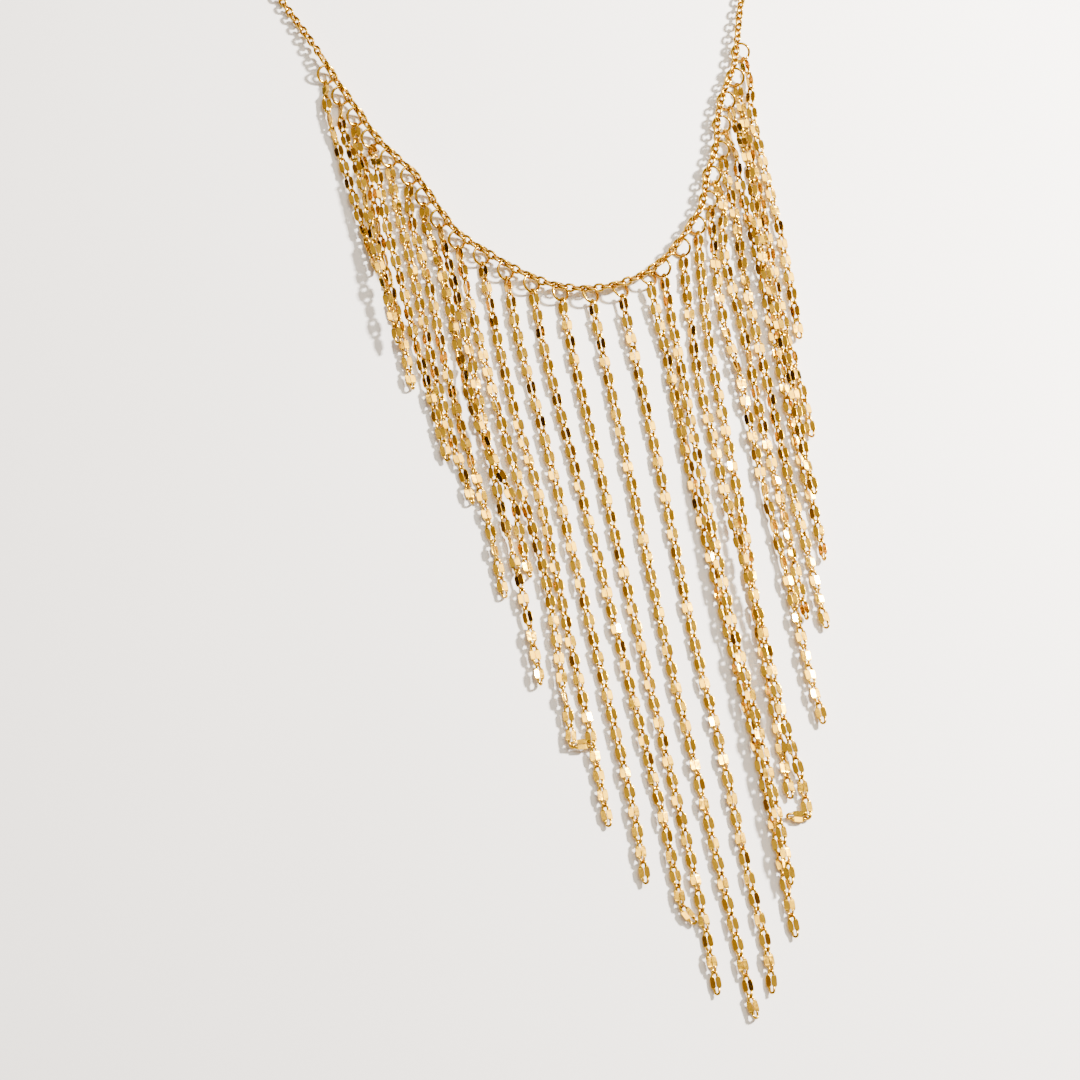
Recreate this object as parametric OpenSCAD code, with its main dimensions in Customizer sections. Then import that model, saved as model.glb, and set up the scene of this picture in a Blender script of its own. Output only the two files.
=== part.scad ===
// A tassel necklace: a fine cable chain whose front stretch carries a jump ring on every fourth
// link, and on each ring a strand of lip chain. It lies flat on a surface, fringe downwards.
// +X is to the right, +Y is from the fringe's tips towards the clasp, and +Z is up.

/* [Cable chain] */
// Length of one cable link, outside
cable_link_l = 2.12; // [1.92:0.02:2.8]
// Width of one cable link, outside
cable_link_w = 1.6; // [1.5:0.05:2]
// Diameter of the cable links' wire
cable_wire = 0.3; // [0.22:0.01:0.32]
// Free play between two linked cable links
cable_play = 0.12; // [0.1:0.01:0.2]

/* [Jump rings] */
// Outside diameter of a jump ring
ring_od = 3.8; // [3.7:0.1:4.4]
// Diameter of the jump rings' wire
ring_wire = 0.4; // [0.3:0.02:0.4]
// Carrier links from one jump ring to the next
links_per_ring = 4; // [4:2:6]

/* [Fringe] */
// Length of one lip link, outside its loops
lip_link_l = 4.4; // [3.6:0.1:4.8]
// Diameter of the wire loops at both ends of a lip link
lip_wire = 0.4; // [0.25:0.01:0.45]
// Width of a lip strand as it lies, with its links rolled to both sides
strand_w = 1.6; // [1.4:0.02:1.9]
// Gap between a jump ring and the strand that it holds
strand_seat = 0.15; // [0.1:0.05:0.3]
// Gap between a strand and the rim of the next ring, which it passes
ring_pass = 0.12; // [0.1:0.02:0.3]
// Gap between a strand and another that lies over it
layer_gap = 0.08; // [0.05:0.01:0.2]

/* [Clasp] */
// Length of the clasp's oval, outside
clasp_l = 8; // [7:0.5:12]
// Width of the clasp's oval, outside
clasp_w = 4.6; // [4.4:0.2:6]
// Diameter of the clasp's rod
clasp_rod = 1.2; // [0.8:0.1:1.3]
// Outside diameter of the clasp's eye, which holds the left neck chain
eye_od = 2.6; // [2.2:0.1:3.4]
// Diameter of the eye's wire
eye_wire = 0.6; // [0.4:0.05:0.7]
// Outside diameter of the ring that the clasp hooks
clasp_ring_od = 4.6; // [4.4:0.1:5.4]
// Diameter of that ring's wire
clasp_ring_wire = 0.7; // [0.5:0.05:0.8]
// Free play where the clasp holds its ring
clasp_play = 0.2; // [0.1:0.05:0.4]
// Gap between the end of a neck chain and what holds it
neck_seat = 0.15; // [0.1:0.05:0.3]

/* [Hidden] */
$fn = 48;
gold = [0.83, 0.64, 0.29];
pale_gold = [0.91, 0.76, 0.44];
deep_gold = [0.74, 0.53, 0.22];
tube_sides = 8;
tube_stretch = 3;
wire_sides = 24;
curve_steps = 8;

// What the sizes above give
cable_pitch = cable_link_l - 2 * cable_wire - cable_play;
ring_pitch = links_per_ring * cable_pitch;
ring_r = (ring_od - ring_wire) / 2;
lip_pitch = lip_link_l - 2 * lip_wire;
level_h = strand_w + layer_gap;

// How the pieces lie. A ring leans out of the surface and is turned a little across the chain. Its
// middle lies off the link that it passes through: along the chain, towards the fringe and up, as
// shares of the ring's radius. The link that holds a ring is rolled to let it through.
RING_LEAN = 34.7;
RING_TURN = 8.4;
RING_PLACE = [0.706, 0.538, -0.4];
LINK_ROLL = 22.5;
FASTENER_ROLL = 45;
NECK_RAMP = 12;
ring_h = ring_r * sin(RING_LEAN) + ring_wire / 2;
carrier_h = ring_h - ring_r * RING_PLACE[2];

// Spacings of the jump rings and of the lip links for which the routes below are drawn. The loop
// and the way from strand to strand grow with the first, and each strand's length with the second
DRAWN_FOR = [5.6, 3.6];
spread = ring_pitch / DRAWN_FOR[0];
stretch = lip_pitch / DRAWN_FOR[1];

// Where the part's own middle lies in the list of route points below
ROUTE_MIDDLE = [-5.4, 56.3];

// Route of the whole loop, in millimetres: it starts and ends at the clasp, comes down the left
// side, passes along the fringe and goes up the right side
LOOP = [
    [-10, 198], [-28, 195], [-43, 187], [-55, 175], [-62, 160], [-63, 144], [-59, 128],
    [-52, 114], [-47.5, 107], [-43.5, 100.5], [-40, 94.5], [-36, 88.5], [-32.5, 83],
    [-28.5, 78.5], [-24.5, 74.5], [-21.5, 70], [-19, 66], [-15.5, 61.5], [-10, 57.5],
    [-4.5, 54], [2, 51], [8.5, 50], [15, 51], [20.5, 53.5], [25, 57.5], [28.5, 62.5],
    [31.5, 68], [32.5, 74], [34.5, 80.5], [35, 87], [36.5, 93], [38.5, 98.5], [39.5, 106],
    [40.5, 114], [43, 128], [44, 144], [42, 160], [35, 175], [23, 187], [8, 195], [-10, 198]
];

// The point of LOOP at which the middle jump ring hangs
MIDDLE_POINT = 21;

// One row for each strand: the number of its ring, counted to the right from the middle one, the
// number of its lip links, and its route from the ring as [right, up, level], where level 0 lies
// on the surface and level 1 lies on the strands below
STRANDS = [
    [-13, 12, [[1, -10.5, 0], [4, -20, 0], [7.5, -31.5, 0], [10.5, -41.5, 0]]],
    [-12, 15, [[1, -9, 0.3], [4, -17, 1], [6, -25.5, 1], [8.5, -36.5, 1], [12.5, -52.5, 1]]],
    [-11, 16, [[3, -13.5, 0], [5.5, -26.5, 0], [8, -38, 0], [10, -46.5, 0], [12, -56.5, 0]]],
    [-10, 19, [[1.5, -6.5, 1], [4, -20.5, 1], [7, -32, 0.6], [9.5, -42.5, 0], [13.5, -57, 0],
        [16, -66.5, 0]]],
    [-9, 20, [[1.5, -9, 0], [5.5, -26, 0], [9, -42.5, 0], [12.5, -56.5, 0], [17, -71, 0]]],
    [-8, 24, [[0.5, -9, 0], [4, -22, 0], [7.5, -39, 0], [11.5, -55, 0], [15.5, -69, 0],
        [19.5, -87.5, 0]]],
    [-7, 22, [[3.5, -15.5, 0], [7, -32, 0], [9.5, -43, 0.8], [13, -53, 1], [17.5, -63, 0.8],
        [19, -70, 0], [20.5, -76.5, 0]]],
    [-6, 26, [[2, -9.5, 0], [6, -27, 0], [8, -37.5, 0], [12, -57.5, 0], [16.5, -76.5, 0],
        [19.5, -91.5, 0]]],
    [-5, 28, [[2.5, -12.5, 0], [7.5, -33, 0], [13, -53, 0], [17.5, -70.5, 0], [20.5, -91, 0],
        [22, -98, 0]]],
    [-4, 31, [[1.5, -9, 0], [6, -30, 0], [11.5, -50.5, 0], [16, -73, 0], [20, -92.5, 0],
        [23.5, -111, 0]]],
    [-3, 33, [[2.5, -14, 0], [7.5, -34.5, 0], [14, -63, 0], [18.5, -83, 0], [23, -104, 0],
        [25, -116.5, 0]]],
    [-2, 34, [[2.5, -14, 0], [7.5, -35, 0], [14, -62.5, 0], [20.5, -91, 0], [23.5, -104, 0],
        [25.5, -114, 0], [28.5, -122, 0]]],
    [-1, 37, [[3.5, -18.5, 0], [8, -39.5, 0], [14, -68, 0], [18.5, -89.5, 0], [23, -110.5, 0],
        [26.5, -130.5, 0]]],
    [0, 38, [[3.5, -18.5, 0], [7.5, -39, 0], [13, -68.5, 0], [17.5, -89.5, 0], [22, -111, 0],
        [27, -134, 0]]],
    [1, 37, [[3.5, -18.5, 0], [7.5, -40, 0], [12.5, -69, 0], [17, -90, 0], [21, -111.5, 0],
        [24, -125, 0], [24.5, -131, 0]]],
    [2, 35, [[3.5, -17, 0], [7, -38, 0], [12.5, -65.5, 0], [17.5, -89.5, 0], [21, -108.5, 0],
        [23.5, -124, 0]]],
    [3, 33, [[3, -19, 0], [5, -33, 0.4], [7, -46, 1], [10.5, -67, 1], [15.5, -91, 1],
        [19, -110, 1], [20.5, -119.5, 1]]],
    [4, 31, [[2.5, -25.5, 0], [5, -38.5, 0], [7.5, -52.5, 0.3], [10.5, -65.5, 1],
        [13, -77, 1], [16, -92.5, 1], [18.5, -101.5, 0.3], [19.5, -106, 0], [20, -109.5, 0]]],
    [5, 31, [[1.5, -22, 0], [4.5, -42.5, 0], [7.5, -63, 0], [9.5, -81, 0], [12, -98, 0],
        [14, -111.5, 0]]],
    [6, 29, [[2, -24, 0], [5, -37, 0], [8.5, -57.5, 0], [13, -79, 0], [16, -95, 0],
        [18, -103.5, 0]]],
    [7, 25, [[2, -17, 0], [5, -31.5, 0], [8, -51, 0], [11.5, -69, 0], [14, -84.5, 0],
        [15.5, -91.5, 0]]],
    [8, 27, [[2.5, -14, 0], [4.5, -31, 0], [8, -51.5, 0], [11.5, -71, 0], [14, -83, 0],
        [16.5, -96, 0]]],
    [9, 25, [[3.5, -14, 0], [6.5, -30, 0], [9.5, -50, 0], [12, -65, 0], [15, -80, 0],
        [16.5, -89, 0]]],
    [10, 23, [[2.5, -9, 0.9], [4, -16, 1], [5.5, -32, 1], [8, -46, 1], [10.5, -60, 1], [12, -72, 1],
        [14, -83, 1]]],
    [11, 21, [[2, -13.5, 0], [4.5, -29, 0], [6.5, -44, 0], [8.5, -56.5, 0], [11, -68.5, 0],
        [12.5, -77.5, 0]]],
    [12, 17, [[2, -14.5, 0], [4.5, -28.5, 0], [7, -42.5, 0], [9.5, -62, 0]]]
];
first_ring = STRANDS[0][0];
last_ring = STRANDS[len(STRANDS) - 1][0];

// Smooth curve through points, as a fine polyline
function bend(a, b, c, d, u) = 0.5 * (2 * b + (c - a) * u + (2 * a - 5 * b + 4 * c - d) * u * u
    + (3 * b - a - 3 * c + d) * u * u * u);
function before(p, closed) = closed ? p[len(p) - 2] : 2 * p[0] - p[1];
function after(p, closed) = closed ? p[1] : 2 * p[len(p) - 1] - p[len(p) - 2];
function smooth(p, closed) = let (q = concat([before(p, closed)], p, [after(p, closed)]))
    concat([for (i = [1 : len(p) - 1], k = [0 : curve_steps - 1])
        bend(q[i - 1], q[i], q[i + 1], q[i + 2], k / curve_steps)], [p[len(p) - 1]]);

// Length along a polyline up to each of its points, seen from above
function flat(v) = [v[0], v[1]];
function run(p, i = 0, sum = 0) = i == len(p) - 1 ? [sum]
    : concat([sum], run(p, i + 1, sum + norm(flat(p[i + 1] - p[i]))));

// A line is one table for each coordinate, of [length so far, coordinate]. place() finds the
// point at any length along it, and goes straight on past its end
function line(p, closed = false) = let (q = smooth(p, closed), r = run(q))
    [for (j = [0 : len(p[0]) - 1]) [for (i = [0 : len(q) - 1]) [r[i], q[i][j]]]];
function total(l) = l[0][len(l[0]) - 1][0];
function on_line(l, s) = [for (t = l) lookup(s, t)];
function onward(l) = let (v = on_line(l, total(l)) - on_line(l, total(l) - heading_span))
    v / heading_span;
function place(l, s) = s <= total(l) ? on_line(l, s)
    : on_line(l, total(l)) + (s - total(l)) * onward(l);
heading_span = 0.1;
function heading(l, s) = let (v = flat(place(l, s + heading_span) - place(l, s - heading_span)))
    v / norm(v);
function side(h) = [h[1], -h[0]];

// The loop and the carrier's stretch of it
loop_line = line([for (q = LOOP) spread * (q - ROUTE_MIDDLE)], true);
middle_at = loop_line[0][MIDDLE_POINT * curve_steps][0];
carrier_start = middle_at + first_ring * ring_pitch - cable_pitch;
carrier_end = middle_at + last_ring * ring_pitch + cable_pitch;

// Rings left of the lowest stretch are pulled on along the chain, and those right of it back
PULL_SWITCH = 2;
function pull(k) = k <= PULL_SWITCH ? 1 : -1;
function ring_middle(k) = let (s = middle_at + k * ring_pitch, q = place(loop_line, s),
    h = heading(loop_line, s),
    c = q + ring_r * (pull(k) * RING_PLACE[0] * h + RING_PLACE[1] * side(h)))
    [c[0], c[1], ring_h];

// Upright axis of a leaning ring
function ring_axis(k) = let (h = heading(loop_line, middle_at + k * ring_pitch), n = side(h),
    a = pull(k) * sin(RING_LEAN) * cos(RING_TURN), b = -sin(RING_LEAN) * sin(RING_TURN))
    [a * h[0] + b * n[0], a * h[1] + b * n[1], cos(RING_LEAN)];

// How far a ring reaches from its middle in a direction, and how high its wire lies there
function lean_to(k, d) = let (a = ring_axis(k)) a[0] * d[0] + a[1] * d[1];
function rim(k, d) = ring_r * sqrt(1 - lean_to(k, d) ^ 2);
function rim_h(k, d) = ring_h - rim(k, d) * lean_to(k, d) / cos(RING_LEAN);

// Half the width of a tube across its corners
function corner(w) = w / 2 / cos(180 / tube_sides);

// Where a strand starts: just clear of its ring's rim, on its way from the ring's middle
function strand_start(k, d) = let (c = flat(ring_middle(k)) + (rim(k, d) + ring_wire / 2
    + strand_seat) * d) [c[0], c[1], max(strand_w / 2, rim_h(k, d))];

// Where the straight way would meet the next ring down, the point beside that ring's rim that the
// strand passes instead
function strand_pass(k, d) = let (next = k < 0 ? k + 1 : k - 1, out = sign(k) * [-d[1], d[0]],
    way = flat(ring_middle(next) - strand_start(k, d)),
    clear = rim(next, out) + ring_wire / 2 + ring_pass + corner(strand_w),
    c = flat(ring_middle(next)) + clear * out)
    k == 0 || -way * out > clear || way * d < strand_w ? [] : [[c[0], c[1], strand_w / 2]];
function towards(v) = flat(v) / norm(flat(v));
function strand_line(row) = let (k = row[0], c = ring_middle(k),
    laid = [for (q = row[2]) [c[0] + spread * q[0], c[1] + stretch * q[1],
        strand_w / 2 + q[2] * level_h]],
    route = concat(strand_pass(k, towards(laid[0] - c)), laid))
    line(concat([strand_start(k, towards(route[0] - c))], route));

// Closed tube along a line from its start, as wide as it is high, flat at its underside and no
// lower than the surface. Its sections follow each other by up to tube_stretch times its width
module tube(l, length, width) {
    parts = ceil(length / (tube_stretch * width));
    out = corner(width);
    points = [for (i = [0 : parts]) let (s = length * i / parts, q = place(l, s),
        n = side(heading(l, s)))
        for (j = [0 : tube_sides - 1]) let (a = 360 * (j + 0.5) / tube_sides)
        [q[0] + out * cos(a) * n[0], q[1] + out * cos(a) * n[1],
            max(q[2], width / 2) + out * sin(a)]];
    walls = [for (i = [0 : parts - 1], j = [0 : tube_sides - 1])
        let (a = i * tube_sides + j, b = i * tube_sides + (j + 1) % tube_sides)
        each [[a, b, a + tube_sides], [b, b + tube_sides, a + tube_sides]]];
    first_cap = [for (j = [0 : tube_sides - 1]) tube_sides - 1 - j];
    last_cap = [for (j = [0 : tube_sides - 1]) parts * tube_sides + j];
    polyhedron(points = points, faces = concat(walls, [first_cap, last_cap]));
}

// Round ring with its middle at the origin, lying in the XY plane
module wire_ring(od, wire) {
    rotate_extrude() translate([(od - wire) / 2, 0]) circle(d = wire, $fn = wire_sides);
}

// Oval chain link with straight sides, its length along X, lying in the XY plane
module wire_link(l, w, wire) {
    reach = (l - w) / 2;
    bow = (w - wire) / 2;
    for (turn = [0, 180])
        rotate([0, 0, turn]) {
            translate([reach, 0, 0]) rotate([0, 0, -90])
                rotate_extrude(angle = 180) translate([bow, 0]) circle(d = wire, $fn = wire_sides);
            translate([-reach, bow, 0]) rotate([0, 90, 0])
                cylinder(h = 2 * reach, d = wire, $fn = wire_sides);
        }
}

// Puts a piece on the loop, its X along the chain
module on_loop(s, height) {
    q = place(loop_line, s);
    h = heading(loop_line, s);
    translate([q[0], q[1], height]) rotate([0, 0, atan2(h[1], h[0])]) children();
}

module carrier_chain() {
    first = first_ring * links_per_ring - 1;
    last = last_ring * links_per_ring + 1;
    color(gold)
        for (i = [first : last]) {
            held = i % links_per_ring == 0;
            upright = i % 2 != 0;
            roll = upright ? 90 : held ? LINK_ROLL : 0;
            on_loop(middle_at + i * cable_pitch, carrier_h) rotate([roll, 0, 0])
                wire_link(cable_link_l, cable_link_w, cable_wire);
        }
}

module strand_rings() {
    color(pale_gold)
        for (k = [first_ring : last_ring]) {
            a = ring_axis(k);
            translate(ring_middle(k)) rotate([0, acos(a[2]), atan2(a[1], a[0])])
                wire_ring(ring_od, ring_wire);
        }
}

// Where the fastener stands: the clasp's oval in the middle, its eye on the left chain's side and
// the ring that it hooks on the right chain's
eye_reach = clasp_l / 2 + eye_od - eye_wire;
hook_reach = clasp_l / 2 - clasp_rod - clasp_ring_wire - clasp_play + clasp_ring_od / 2;
ring_reach = hook_reach + clasp_ring_od / 2;
fastener_half = (eye_reach + ring_reach) / 2;
function rolled_h(w, wire) = (w - wire) / 2 * sin(FASTENER_ROLL) + wire / 2;
fastener_h = max(rolled_h(clasp_w, clasp_rod), rolled_h(clasp_ring_od, clasp_ring_wire));

// Line of a neck chain: it leaves the carrier at its height, lies on the surface, and rises to
// the fastener
neck_low = cable_link_w / 2;
function slope(h, d) = neck_low + (h - neck_low) * max(0, 1 - d / NECK_RAMP);
function neck_line(from, to) = let (long = abs(to - from), n = ceil(long / cable_link_l))
    line([for (i = [0 : n]) let (d = long * i / n, q = place(loop_line, from + (to - from) * i / n))
        [q[0], q[1], max(slope(carrier_h, d), slope(fastener_h, long - d))]]);
neck_reach = cable_link_l / 2 + neck_seat;

module neck_chain_left() {
    l = neck_line(carrier_start - neck_reach, fastener_half + neck_seat);
    color(gold) tube(l, total(l), cable_link_w);
}

module neck_chain_right() {
    l = neck_line(carrier_end + neck_reach, total(loop_line) - fastener_half - neck_seat);
    color(gold) tube(l, total(l), cable_link_w);
}

// Puts the fastener across the start of the loop, the clasp's oval at the origin
module at_fastener() {
    q = place(loop_line, 0);
    translate([q[0] + (eye_reach - ring_reach) / 2, q[1], fastener_h]) children();
}

module clasp() {
    color(deep_gold) at_fastener() rotate([FASTENER_ROLL, 0, 0]) {
        wire_link(clasp_l, clasp_w, clasp_rod);
        translate([eye_wire - clasp_l / 2 - eye_od / 2, 0, 0]) wire_ring(eye_od, eye_wire);
    }
}

module clasp_ring() {
    color(pale_gold) at_fastener() translate([hook_reach, 0, 0]) rotate([-FASTENER_ROLL, 0, 0])
        wire_ring(clasp_ring_od, clasp_ring_wire);
}

module strand(ring) {
    row = [for (r = STRANDS) if (r[0] == ring) r][0];
    color(gold) tube(strand_line(row), row[1] * lip_pitch, strand_w);
}

carrier_chain();
strand_rings();
neck_chain_left();
neck_chain_right();
clasp();
clasp_ring();
strand(-13);  // strand_left_13
strand(-12);  // strand_left_12
strand(-11);  // strand_left_11
strand(-10);  // strand_left_10
strand(-9);  // strand_left_09
strand(-8);  // strand_left_08
strand(-7);  // strand_left_07
strand(-6);  // strand_left_06
strand(-5);  // strand_left_05
strand(-4);  // strand_left_04
strand(-3);  // strand_left_03
strand(-2);  // strand_left_02
strand(-1);  // strand_left_01
strand(0);  // strand_middle
strand(1);  // strand_right_01
strand(2);  // strand_right_02
strand(3);  // strand_right_03
strand(4);  // strand_right_04
strand(5);  // strand_right_05
strand(6);  // strand_right_06
strand(7);  // strand_right_07
strand(8);  // strand_right_08
strand(9);  // strand_right_09
strand(10);  // strand_right_10
strand(11);  // strand_right_11
strand(12);  // strand_right_12
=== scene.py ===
import math
from collections import namedtuple

import bpy
import numpy as np
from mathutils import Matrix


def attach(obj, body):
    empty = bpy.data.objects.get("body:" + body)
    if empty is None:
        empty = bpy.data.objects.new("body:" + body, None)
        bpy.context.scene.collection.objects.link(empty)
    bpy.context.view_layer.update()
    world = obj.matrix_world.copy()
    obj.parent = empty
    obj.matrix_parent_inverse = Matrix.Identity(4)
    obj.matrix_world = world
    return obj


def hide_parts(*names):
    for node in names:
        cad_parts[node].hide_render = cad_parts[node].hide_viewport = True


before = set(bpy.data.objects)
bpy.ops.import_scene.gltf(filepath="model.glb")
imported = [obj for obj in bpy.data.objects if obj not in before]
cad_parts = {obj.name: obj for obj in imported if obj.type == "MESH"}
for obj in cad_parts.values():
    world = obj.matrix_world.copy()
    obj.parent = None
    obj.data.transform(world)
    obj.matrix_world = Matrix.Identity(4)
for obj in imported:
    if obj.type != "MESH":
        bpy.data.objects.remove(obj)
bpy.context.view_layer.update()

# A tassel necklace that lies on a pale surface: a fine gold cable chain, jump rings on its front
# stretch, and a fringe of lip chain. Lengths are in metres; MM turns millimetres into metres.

MM = 0.001
UP = np.array([0.0, 0.0, 1.0])

# Lip chain: an oval link whose two long sides are pressed into flat petals. Its links are rolled
# about the strand by turns to a flat and to a steep angle, in degrees. Over an upper share of the
# strand the flat ones are rolled further, the most at the ring. Bows are twisted out of their
# petals' plane, so that neighbouring bows cross.
LIP_PITCH = 3.6 * MM
LIP_WIRE = 0.46 * MM
LIP_L = LIP_PITCH + 2 * LIP_WIRE
LIP_BOW_R = 0.44 * MM
PETAL_L = 1.95 * MM
PETAL_W = 0.97 * MM
PETAL_T = 0.2 * MM
PETAL_SLIT = 0.04 * MM
FLAT_ROLL = -7.0
STEEP_ROLL = 16.0
UPPER_ROLL = 14.0
UPPER_SHARE = 0.7
BOW_ROLL = 38.0
BOW_POINTS = 8

# How square a petal's ends are, and where its sections lie, as shares of the way from the link's
# middle to a bow's centre
PETAL_SQUARENESS = 5
PETAL_STEPS = np.array([0.13, 0.38, 0.5, 0.55, 0.585, 0.605, 0.62, 0.72, 0.86, 1.0])

# The two petals of a link are each tilted a little about their length, in degrees: one row for
# each kind of link
PETAL_TILTS = [(8, -9), (-5, 5), (10, 1), (-2, -12), (5, -3), (2, 13)]

# Cable chain, as its wire is drawn: thicker than in the solids, on the same middle lines. Its
# links lie by turns on one edge and on the other.
CABLE_WIRE = 0.52 * MM
CABLE_L = 1.82 * MM + CABLE_WIRE
CABLE_W = 1.3 * MM + CABLE_WIRE
CABLE_PITCH = 1.4 * MM
CABLE_SEAT = 0.15 * MM
CABLE_ROLL = 45.0
CABLE_LOOSENESS = 6.0
CABLE_BOW_POINTS = 9

# What the chains hang on
RING_R = 1.7 * MM
RING_WIRE = 0.54 * MM
RING_SEAM = 0.04 * MM
RING_SECTIONS = 49
EYE_WIRE = 0.6 * MM
CLASP_RING_WIRE = 0.7 * MM

# Strands whose last links lie turned: how many of the tube's last sections their line leaves out,
# how many links there are beyond the tube's own, the links' pitch, and how far each of the last
# links turns from the one before it, in degrees to the right as the strand runs
End = namedtuple("End", "left_out extra pitch turns")
STRAIGHT_END = End(0, 0, LIP_PITCH, ())
TURNED_ENDS = {"strand_left_02": End(2, 1, 3.54 * MM, (-26,)),
               "strand_left_05": End(0, 1, LIP_PITCH, (8, -92)),
               "strand_right_04": End(0, 1, LIP_PITCH, (100,))}

# How far a strand's links roll, in degrees: the least and the most of a slow drift along the
# strand, and how far single links stray from it near the ring and further down. Bunched strands
# roll further. The drift is a wave, whose start and step from link to link are in radians.
Lie = namedtuple("Lie", "least_drift most_drift upper_stray lower_stray")
OPEN_LIE = Lie(3, 8, 12, 5)
BUNCHED_LIE = Lie(14, 30, 16, 14)
BUNCHED = ([f"strand_left_{i:02}" for i in range(5, 14)]
           + [f"strand_right_{i:02}" for i in range(6, 13)])
UPPER_LINKS = 6
DRIFT_START_MOST = 6
DRIFT_STEP = 0.35
HEADING_STRAY = 1.6

# The camera looks down at the surface, tilted a little towards the fringe
CAMERA_TARGET = np.array([5.4, -56.3, 0.0]) * MM
CAMERA_DISTANCE = 388.2 * MM
CAMERA_TILT = math.radians(18)
CAMERA_LENS_MM = 70
SENSOR_MM = 36

# Half the width of the board that the necklace lies on, in metres
BOARD_HALF = 1.6


# Points and lines

def mesh_points(name):
    """The vertices of a CAD node's mesh."""
    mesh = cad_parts[name].data
    points = np.empty(len(mesh.vertices) * 3)
    mesh.vertices.foreach_get("co", points)
    return points.reshape(-1, 3)


def corners(name):
    """The corner points of a CAD node, each once."""
    return np.unique(np.round(mesh_points(name), 7), axis=0)


def meeting_point(name, other):
    """The corner of a CAD node that lies nearest another node."""
    points, others = corners(name), corners(other)
    gaps = np.linalg.norm(points[:, None] - others[None], axis=2).min(axis=1)
    return points[int(np.argmin(gaps))]


# More than the width of any swept tube, and less than the distance between its sections
SECTION_REACH = 2.2 * MM


def section_middles(name, near):
    """The middles of a swept tube's sections, in order from the end that lies nearest a point."""
    points = corners(name)
    middles = []
    while len(points):
        close = np.linalg.norm(points - points[0], axis=1) < SECTION_REACH
        middles.append(points[close].mean(axis=0))
        points = points[~close]
    ordered = []
    here = np.asarray(near)
    while middles:
        nearest = int(np.argmin([np.linalg.norm(m - here) for m in middles]))
        here = middles.pop(nearest)
        ordered.append(here)
    return np.array(ordered)


class Line:
    """A smooth line through points, which goes straight on past both ends."""

    STEPS = 10
    HEADING_SPAN = 0.6 * MM

    def __init__(self, points):
        first, last = 2 * points[0] - points[1], 2 * points[-1] - points[-2]
        p = np.vstack([[first], points, [last]])
        u = (np.arange(self.STEPS) / self.STEPS)[:, None]
        parts = [0.5 * (2 * b + (c - a) * u + (2 * a - 5 * b + 4 * c - d) * u ** 2
                 + (3 * b - a - 3 * c + d) * u ** 3) for a, b, c, d in zip(p, p[1:], p[2:], p[3:])]
        self.points = np.vstack(parts + [points[-1:]])
        gaps = np.linalg.norm(np.diff(self.points, axis=0), axis=1)
        self.run = np.concatenate([[0], np.cumsum(gaps)])
        self.length = self.run[-1]

    def on_line(self, s):
        """The point at a length that lies within the line."""
        return np.array([np.interp(s, self.run, self.points[:, j]) for j in range(3)])

    def at(self, s):
        """The point at a length along the line or past its ends."""
        inner = min(max(s, 0), self.length)
        point = self.on_line(inner)
        if s != inner:
            point = point + (s - inner) * self.heading(inner)
        return point

    def heading(self, s):
        """The direction of the line at a length along it."""
        low = min(max(s - self.HEADING_SPAN / 2, 0), self.length - self.HEADING_SPAN)
        way = self.on_line(low + self.HEADING_SPAN) - self.on_line(low)
        return way / np.linalg.norm(way)


def turned(vector, axis, degrees):
    """A vector turned about an axis."""
    angle = math.radians(degrees)
    return (vector * math.cos(angle) + np.cross(axis, vector) * math.sin(angle)
            + axis * (axis @ vector) * (1 - math.cos(angle)))


# Links

# Sections of round wire and of a pressed petal, as shares of their half width and half height.
# The petal's top and bottom are the flats between its second and third corner, and between its
# sixth and seventh.
SIDES = 8
WIRE_SECTION = np.array([[math.cos(math.radians(a)), math.sin(math.radians(a))]
                         for a in (np.arange(SIDES) + 0.5) * 360 / SIDES])
PETAL_SECTION = np.array([[1, 0.3], [0.88, 1], [-0.88, 1], [-1, 0.3],
                          [-1, -0.3], [-0.88, -1], [0.88, -1], [1, -0.3]])
PETAL_FLATS = (1, 5)

# From these shares of a petal's full width on, its section is fully pressed, and its flats are
# shaded flat
PRESSED_FROM = 0.625
FLAT_FROM = 0.6


def closed_sweep(middles, outward, half_width, half_height, sections):
    """Corners and quads of a closed ring of sections."""
    n = len(middles)
    points = (middles[:, None] + outward[:, None] * (sections[:, :, :1] * half_width[:, None, None])
              + UP * (sections[:, :, 1:] * half_height[:, None, None]))
    faces = [[i * SIDES + j, i * SIDES + (j + 1) % SIDES,
              (i + 1) % n * SIDES + (j + 1) % SIDES, (i + 1) % n * SIDES + j]
             for i in range(n) for j in range(SIDES)]
    return points.reshape(-1, 3), np.array(faces)


def outward_of(middles):
    """The directions that point out of a flat closed line at its points."""
    tangent = np.roll(middles, -1, axis=0) - np.roll(middles, 1, axis=0)
    tangent /= np.linalg.norm(tangent, axis=1)[:, None]
    return np.cross(tangent, UP)


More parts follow.
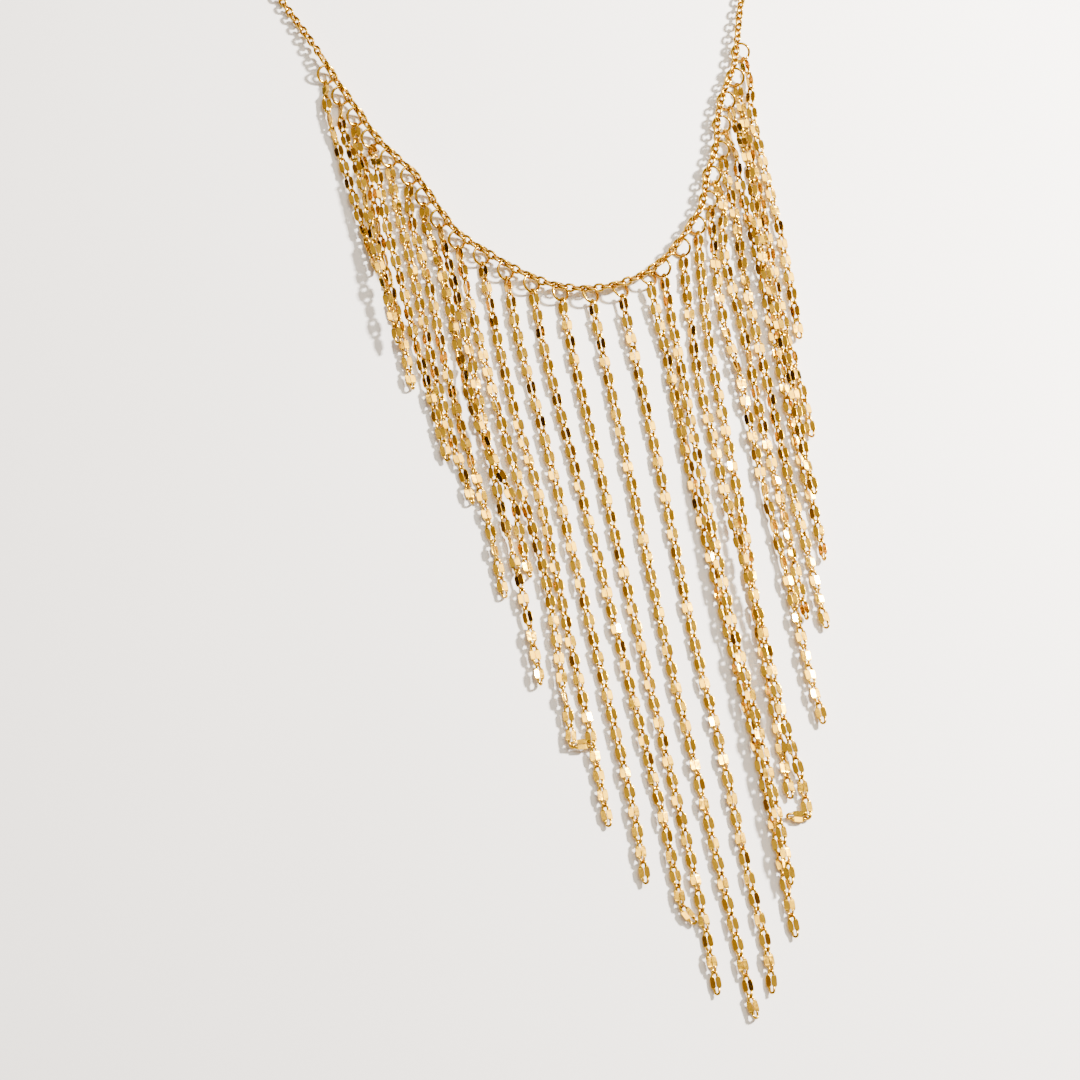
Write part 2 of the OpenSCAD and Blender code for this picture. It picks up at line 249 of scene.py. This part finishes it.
def lip_link(tilts, twist):
    """One lip link along X: two flat petals side by side, each tilted by its own angle about its
    length, and round wire bows at both ends, which are twisted out of the petals' plane."""
    reach = LIP_L / 2 - LIP_WIRE / 2 - LIP_BOW_R
    petal_middle = (PETAL_SLIT + PETAL_W) / 2
    along = np.concatenate([-PETAL_STEPS[::-1], PETAL_STEPS]) * reach
    # 1 in a petal's middle, 0 at and past its round ends
    leaf = np.sqrt(np.maximum(0, 1 - np.abs(2 * along / PETAL_L) ** PETAL_SQUARENESS))
    aside = LIP_BOW_R + (petal_middle - LIP_BOW_R) * leaf
    bow = np.radians(np.linspace(-90, 90, BOW_POINTS)[1:-1])
    bow_x, bow_y = reach + LIP_BOW_R * np.cos(bow), LIP_BOW_R * np.sin(bow)
    x = np.concatenate([along, bow_x, along[::-1], -bow_x])
    y = np.concatenate([-aside, bow_y, aside[::-1], -bow_y])
    share = np.concatenate([leaf, 0 * bow, leaf[::-1], 0 * bow])
    middles = np.column_stack([x, y, np.zeros(len(x))])

    pressed = np.minimum(1, share / PRESSED_FROM)
    width = LIP_WIRE / 2 + (PETAL_W - LIP_WIRE) / 2 * share
    height = LIP_WIRE / 2 + (PETAL_T - LIP_WIRE) / 2 * pressed
    sections = WIRE_SECTION + pressed[:, None, None] * (PETAL_SECTION - WIRE_SECTION)
    points, faces = closed_sweep(middles, outward_of(middles), width, height, sections)

    lean = np.repeat(share, SIDES)
    half_of = np.repeat(np.sign(y), SIDES)
    for half, tilt in zip((-1, 1), tilts):
        turn = np.radians(tilt) * lean * (half_of == half)
        points[:, 2] += np.sin(turn) * (points[:, 1] - half * petal_middle)

    petal_end = PETAL_L / 2 - LIP_WIRE / 2
    past = np.clip((np.abs(points[:, 0]) - petal_end) / (reach - petal_end), 0, 1)
    angle = np.radians(twist) * past * past * (3 - 2 * past)
    y, z = points[:, 1].copy(), points[:, 2].copy()
    points[:, 1] = y * np.cos(angle) - z * np.sin(angle)
    points[:, 2] = y * np.sin(angle) + z * np.cos(angle)

    wide = (share > FLAT_FROM) & (np.roll(share, -1) > FLAT_FROM)
    flat = wide[:, None] & np.isin(np.arange(SIDES), PETAL_FLATS)
    return points, faces, flat.ravel()


def cable_link():
    """One cable link along X: a plain oval of round wire."""
    bow_r = (CABLE_W - CABLE_WIRE) / 2
    reach = (CABLE_L - CABLE_W) / 2
    angles = np.radians(np.linspace(-90, 90, CABLE_BOW_POINTS))
    right = np.array([[reach + bow_r * math.cos(a), bow_r * math.sin(a), 0] for a in angles])
    middles = np.vstack([right, right * [-1, -1, 1]])
    half = np.full(len(middles), CABLE_WIRE / 2)
    sections = np.repeat(WIRE_SECTION[None], len(middles), axis=0)
    points, faces = closed_sweep(middles, outward_of(middles), half, half, sections)
    return points, faces, np.zeros(len(faces), bool)


def jump_ring():
    """One jump ring about Z, its wire cut at one place and pressed shut to a fine seam."""
    seam = RING_SEAM / RING_R / 2
    angles = np.linspace(seam, 2 * np.pi - seam, RING_SECTIONS)
    out = np.array([[math.cos(a), math.sin(a), 0] for a in angles])
    sections = np.repeat(WIRE_SECTION[None], RING_SECTIONS, axis=0)
    half = np.full(RING_SECTIONS, RING_WIRE / 2)
    points, faces = closed_sweep(out * RING_R, out, half, half, sections)
    wall = len(faces) - SIDES
    first_cap = np.array([(3, 2, 1, 0), (5, 4, 3, 0), (7, 6, 5, 0)])
    last_cap = np.array([(0, 1, 2, 3), (0, 3, 4, 5), (0, 5, 6, 7)]) + wall
    faces = np.vstack([faces[:wall], first_cap, last_cap])
    return points, faces, np.arange(len(faces)) >= wall


def placed(link, middle, heading, roll):
    """A link's corners, laid at a point along a heading and rolled about it from lying flat."""
    side = np.cross(UP, heading)
    side = turned(side / np.linalg.norm(side), heading, roll)
    axes = np.array([heading, side, np.cross(heading, side)])
    return link[0] @ axes + middle


def on_surface(points):
    """Corners, lifted by what of them lies below the surface."""
    return points - [0, 0, min(points[:, 2].min(), 0)]


def chain_piece(name, links, material, node):
    """All links of one chain as a single mesh, in place of its CAD node. Every link carries its own
    value of polish, which its material reads."""
    points, faces, flat, polish = [], [], [], []
    start = 0
    rng = np.random.default_rng(sum(map(ord, name)))
    for link, corner_points in links:
        points.append(corner_points)
        faces.append(link[1] + start)
        flat.append(link[2])
        polish.append(np.full(len(corner_points), rng.random()))
        start += len(corner_points)
    mesh = bpy.data.meshes.new(name)
    mesh.from_pydata(np.vstack(points).tolist(), [], np.vstack(faces).tolist())
    mesh.polygons.foreach_set("use_smooth", ~np.concatenate(flat))
    shade = mesh.attributes.new("polish", "FLOAT", "POINT")
    shade.data.foreach_set("value", np.concatenate(polish))
    mesh.update()
    piece = bpy.data.objects.new(name, mesh)
    bpy.context.collection.objects.link(piece)
    mesh.materials.append(material)
    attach(piece, "root")
    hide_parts(node)


# Chains

def islands(name):
    """Middle and axes, longest first, of each loose solid of a CAD node, from left to right."""
    keys, home = np.unique(np.round(mesh_points(name), 7), axis=0, return_inverse=True)
    home = home.reshape(-1)
    parent = list(range(len(keys)))

    def root(i):
        while parent[i] != i:
            parent[i] = parent[parent[i]]
            i = parent[i]
        return i

    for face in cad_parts[name].data.polygons:
        first = root(home[face.vertices[0]])
        for v in face.vertices[1:]:
            parent[root(home[v])] = first
    groups = {}
    for i in range(len(keys)):
        groups.setdefault(root(i), []).append(i)
    found = []
    for members in groups.values():
        solid = keys[members]
        middle = (solid.min(axis=0) + solid.max(axis=0)) / 2
        axes = np.linalg.svd(solid - middle, full_matrices=False)[2]
        # the long axis points right, and the short one points up
        axes[0] *= np.sign(axes[0] @ [1, 0.1, 0])
        axes[2] *= np.sign(axes[2] @ [0, 0.1, 1])
        found.append((middle, np.array([axes[0], np.cross(axes[2], axes[0]), axes[2]])))
    return sorted(found, key=lambda solid: tuple(solid[0]))


def rim_point(ring, towards):
    """The point of a ring's wire that lies nearest a point."""
    middle, axes = ring
    way = towards - middle
    way = way - axes[2] * (way @ axes[2])
    return middle + RING_R * way / np.linalg.norm(way)


def lip_strand(name, rings, variants, material):
    """One strand of lip chain along its tube, its first link round the jump ring's wire."""
    rng = np.random.default_rng(sum(map(ord, name)) * 7)
    # a point far behind the necklace, so that the sections come in order from the ring on
    far_back = np.array([0, 1.0, 0])
    middles = section_middles(name, far_back)
    ring = min(rings, key=lambda r: np.linalg.norm(r[0] - middles[0]))
    wire = rim_point(ring, middles[0])
    tube_length = float(np.linalg.norm(np.diff(middles, axis=0), axis=1).sum())
    count = round(tube_length / LIP_PITCH)
    end = TURNED_ENDS.get(name, STRAIGHT_END)
    line = Line(np.vstack([[wire], middles[1:len(middles) - end.left_out]]))
    first = LIP_L / 2 - LIP_WIRE - RING_WIRE / 2
    lie = BUNCHED_LIE if name in BUNCHED else OPEN_LIE
    phase = rng.uniform(0, DRIFT_START_MOST)
    drift = rng.uniform(lie.least_drift, lie.most_drift)
    on_line = count + end.extra - len(end.turns)
    links = []
    for i in range(count + end.extra):
        s = first + i * end.pitch
        upper = 1 - min(i / (UPPER_SHARE * count), 1)
        roll = (STEEP_ROLL, FLAT_ROLL + UPPER_ROLL * upper)[i % 2]
        stray = lie.upper_stray if i < UPPER_LINKS else lie.lower_stray
        roll += drift * math.sin(i * DRIFT_STEP + phase) + rng.normal(0, stray)
        if i < on_line:
            middle, heading = line.at(s), line.heading(s)
        else:
            heading = turned(heading, UP, -end.turns[i - on_line])
            middle = hinge + heading * end.pitch / 2
            roll = FLAT_ROLL
        hinge = middle + heading * end.pitch / 2
        laid = turned(heading, UP, rng.normal(0, HEADING_STRAY))
        link = variants[i % 2][rng.integers(len(PETAL_TILTS))]
        links.append((link, placed(link, middle, laid, roll)))
    lowest = min(points[:, 2].min() for link, points in links)
    for link, points in links:
        points[:, 2] -= min(lowest, 0)
    chain_piece(name + "_links", links, material, name)


def neck_chain(name, carrier_end, fastener_wire, link, material):
    """The cable links of one neck chain, from the carrier's last link to the fastener's wire."""
    rng = np.random.default_rng(sum(map(ord, name)))
    line = Line(section_middles(name, carrier_end))
    first = CABLE_PITCH - CABLE_L / 2 - CABLE_SEAT
    last = line.length + CABLE_SEAT + fastener_wire + CABLE_WIRE - CABLE_L / 2
    count = round((last - first) / CABLE_PITCH)
    links = []
    for i in range(count + 1):
        s = first + (last - first) * i / count
        roll = CABLE_ROLL - (0 if i % 2 == 0 else 90) + rng.normal(0, CABLE_LOOSENESS)
        links.append((link, on_surface(placed(link, line.at(s), line.heading(s), roll))))
    chain_piece(name + "_links", links, material, name)


# Materials

def linear(hex_colour):
    """An sRGB colour such as D4A24A as linear light."""
    parts = [int(hex_colour[i:i + 2], 16) / 255 for i in (0, 2, 4)]
    return [v / 12.92 if v <= 0.04045 else ((v + 0.055) / 1.055) ** 2.4 for v in parts] + [1.0]


def node(tree, kind, settings=None, inputs=None):
    """Adds a node, with its settings, and its inputs as values or as links from other nodes."""
    new = tree.nodes.new(kind)
    for key, value in (settings or {}).items():
        setattr(new, key, value)
    for key, value in (inputs or {}).items():
        if isinstance(value, bpy.types.NodeSocket):
            tree.links.new(value, new.inputs[key])
        else:
            new.inputs[key].default_value = value
    return new


def ramp(tree, factor, stops):
    """A colour ramp with its stops given as (place, sRGB colour)."""
    new = node(tree, "ShaderNodeValToRGB", inputs={"Fac": factor})
    elements = new.color_ramp.elements
    while len(elements) < len(stops):
        elements.new(0.5)
    for element, (place, colour) in zip(elements, stops):
        element.position = place
        element.color = linear(colour)
    return new.outputs["Color"]


def polished_gold(name, deep, bright, roughness, marks):
    """Polished gold plate. Its tint drifts slowly over the metal between a deep and a bright gold,
    each link has its own degree of polish, and fine buffing marks break its reflections."""
    material = bpy.data.materials.new(name)
    material.use_nodes = True
    tree = material.node_tree
    shader = tree.nodes["Principled BSDF"]
    place = node(tree, "ShaderNodeTexCoord").outputs["Object"]
    # cloudy drift of the plating's tint, in clouds of about 3 mm
    cloud = node(tree, "ShaderNodeTexNoise", inputs={"Vector": place, "Scale": 0.35 / MM,
                                                     "Detail": 3.0, "Roughness": 0.6})
    tint = ramp(tree, cloud.outputs["Fac"], [(0.35, deep), (0.65, bright)])
    tree.links.new(tint, shader.inputs["Base Color"])
    shader.inputs["Metallic"].default_value = 1.0
    # each link's own polish, from mirror to slightly dull, mottled by handling every half millimetre
    own = node(tree, "ShaderNodeAttribute", {"attribute_name": "polish"})
    mottle = node(tree, "ShaderNodeTexNoise", inputs={"Vector": place, "Scale": 2.2 / MM,
                                                      "Detail": 2.0})
    wear = node(tree, "ShaderNodeMath", {"operation": "MULTIPLY_ADD"},
                {0: own.outputs["Fac"], 1: 0.5, 2: mottle.outputs["Fac"]})
    dullness = node(tree, "ShaderNodeMapRange", inputs={
        "Value": wear.outputs[0], "From Min": 0.3, "From Max": 1.2,
        "To Min": roughness[0], "To Max": roughness[1]})
    tree.links.new(dullness.outputs["Result"], shader.inputs["Roughness"])
    # buffing marks about a ninth of a millimetre wide, coarser than real ones, so that they show
    buff = node(tree, "ShaderNodeTexNoise", inputs={"Vector": place, "Scale": 9 / MM, "Detail": 2.0})
    bump = node(tree, "ShaderNodeBump", inputs={
        "Height": buff.outputs["Fac"], "Strength": marks, "Distance": 0.01 * MM})
    tree.links.new(bump.outputs["Normal"], shader.inputs["Normal"])
    return material


def pale_board():
    """A smooth matt board with a faint tooth, for the surface that the necklace lies on."""
    material = bpy.data.materials.new("pale_board")
    material.use_nodes = True
    tree = material.node_tree
    shader = tree.nodes["Principled BSDF"]
    place = node(tree, "ShaderNodeTexCoord").outputs["Object"]
    # barely seen clouds of tint, about 80 mm across
    cloud = node(tree, "ShaderNodeTexNoise", inputs={"Vector": place, "Scale": 12.0})
    tint = ramp(tree, cloud.outputs["Fac"], [(0.3, "DFDEE0"), (0.7, "E3E2E4")])
    tree.links.new(tint, shader.inputs["Base Color"])
    shader.inputs["Roughness"].default_value = 0.7
    # the paper face's tooth, 0.4 mm across
    tooth = node(tree, "ShaderNodeTexNoise", inputs={"Vector": place, "Scale": 2.5 / MM})
    bump = node(tree, "ShaderNodeBump", inputs={
        "Height": tooth.outputs["Fac"], "Strength": 0.05, "Distance": 0.05 * MM})
    tree.links.new(bump.outputs["Normal"], shader.inputs["Normal"])
    return material


# Studio

def surface(material):
    """The surface under the necklace."""
    far = BOARD_HALF
    mesh = bpy.data.meshes.new("surface")
    mesh.from_pydata([(-far, -far, 0), (far, -far, 0), (far, far, 0), (-far, far, 0)], [],
                     [(0, 1, 2, 3)])
    floor = bpy.data.objects.new("surface", mesh)
    bpy.context.collection.objects.link(floor)
    mesh.materials.append(material)


def softbox(name, place, aim, size, power, colour):
    """A soft studio light at a place, aimed at a point."""
    light = bpy.data.lights.new(name, "AREA")
    light.shape = "RECTANGLE"
    light.size, light.size_y = size
    light.energy = power
    light.color = linear(colour)[:3]
    lamp = bpy.data.objects.new(name, light)
    bpy.context.collection.objects.link(lamp)
    lamp.location = place
    way = np.asarray(aim) - np.asarray(place)
    way = way / np.linalg.norm(way)
    lamp.rotation_euler = (math.acos(-way[2]), 0, math.atan2(way[0], -way[1]) + math.pi)


def camera():
    """The camera, at the photo's angle to the surface."""
    data = bpy.data.cameras.new("camera")
    data.lens = CAMERA_LENS_MM
    data.sensor_width = SENSOR_MM
    data.clip_start = 10 * MM
    eye = bpy.data.objects.new("camera", data)
    bpy.context.collection.objects.link(eye)
    back = np.array([0, -math.sin(CAMERA_TILT), math.cos(CAMERA_TILT)])
    eye.location = CAMERA_TARGET + CAMERA_DISTANCE * back
    eye.rotation_euler = (CAMERA_TILT, 0, 0)
    bpy.context.scene.camera = eye


def room():
    """The room: a plain pale backdrop to look at, while what the metal mirrors and is lit by is
    dim and warm at the sides and bright overhead."""
    world = bpy.data.worlds.new("room")
    bpy.context.scene.world = world
    world.use_nodes = True
    tree = world.node_tree
    background = tree.nodes["Background"]
    way = node(tree, "ShaderNodeTexCoord").outputs["Generated"]
    height = node(tree, "ShaderNodeSeparateXYZ", inputs={"Vector": way}).outputs["Z"]
    glow = ramp(tree, height, [(0.0, "1E150C"), (0.45, "3C2814"), (0.68, "A8845A"), (0.87, "F4EADC")])
    seen = node(tree, "ShaderNodeLightPath").outputs["Is Camera Ray"]
    # a Mix node's sockets for colours go by number, because its names for them repeat
    mix_a, mix_b, mix_result = 6, 7, 2
    shown = node(tree, "ShaderNodeMix", {"data_type": "RGBA"},
                 {"Factor": seen, mix_a: glow, mix_b: linear("F4F2F0")})
    tree.links.new(shown.outputs[mix_result], background.inputs["Color"])
    background.inputs["Strength"].default_value = 1.2


def studio():
    """Camera, surface, lights and the room around them."""
    camera()
    surface(pale_board())
    aim = (0.0, -0.03, 0.0)
    # a small hard light for crisp shadows and glints, and a wide one that the flat petals mirror
    softbox("key", (0.4, 0.14, 0.33), aim, size=(0.05, 0.05), power=24, colour="FFF8EE")
    softbox("window", (0.3, 0.33, 0.85), aim, size=(0.4, 0.6), power=8.2, colour="FFF8E4")
    room()


# Putting it together

studio()

# Drawn wire, tumbled bright: small lively glints that never quite become a mirror
cable = polished_gold("polished_cable_gold", "BC8F22", "CEA228", roughness=(0.1, 0.24), marks=0.12)
# Round wire, polished by hand: long clean highlights round each ring
ring_gold = polished_gold("polished_ring_gold", "C29524", "D6AA2C", roughness=(0.08, 0.18), marks=0.08)
# Petals pressed between mirror dies: each flat is cream, tan or nearly black, by how it lies
lip = polished_gold("mirror_lip_gold", "C09322", "D2A62A", roughness=(0.08, 0.3), marks=0.16)
# A stout rod, turned and buffed: broad soft highlights
clasp_gold = polished_gold("polished_clasp_gold", "BC8F24", "CEA22A", roughness=(0.1, 0.2), marks=0.1)

for node_name, material in (("clasp", clasp_gold), ("clasp_ring", ring_gold)):
    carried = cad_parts[node_name]
    carried.data.materials.clear()
    carried.data.materials.append(material)

one_link = cable_link()
carrier_links = []
for middle, axes in islands("carrier_chain"):
    rolled = [turned(axis, axes[0], CABLE_ROLL) for axis in axes]
    carrier_links.append((one_link, on_surface(one_link[0] @ rolled + middle)))
chain_piece("carrier_links", carrier_links, cable, "carrier_chain")

rings = islands("strand_rings")
one_ring = jump_ring()
ring_links = [(one_ring, on_surface(one_ring[0] @ axes + middle)) for middle, axes in rings]
chain_piece("jump_rings", ring_links, ring_gold, "strand_rings")

# Lip links for the steep and the flat places of a strand, whose bows are twisted to opposite sides
variants = [[lip_link(tilts, side * BOW_ROLL - roll) for tilts in PETAL_TILTS]
            for side, roll in ((1, STEEP_ROLL), (-1, FLAT_ROLL))]
for strand in sorted(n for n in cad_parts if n.startswith("strand_") and n != "strand_rings"):
    lip_strand(strand, rings, variants, lip)

for neck_name, wire in (("neck_chain_left", EYE_WIRE), ("neck_chain_right", CLASP_RING_WIRE)):
    neck_chain(neck_name, meeting_point(neck_name, "carrier_chain"), wire, one_link, cable)
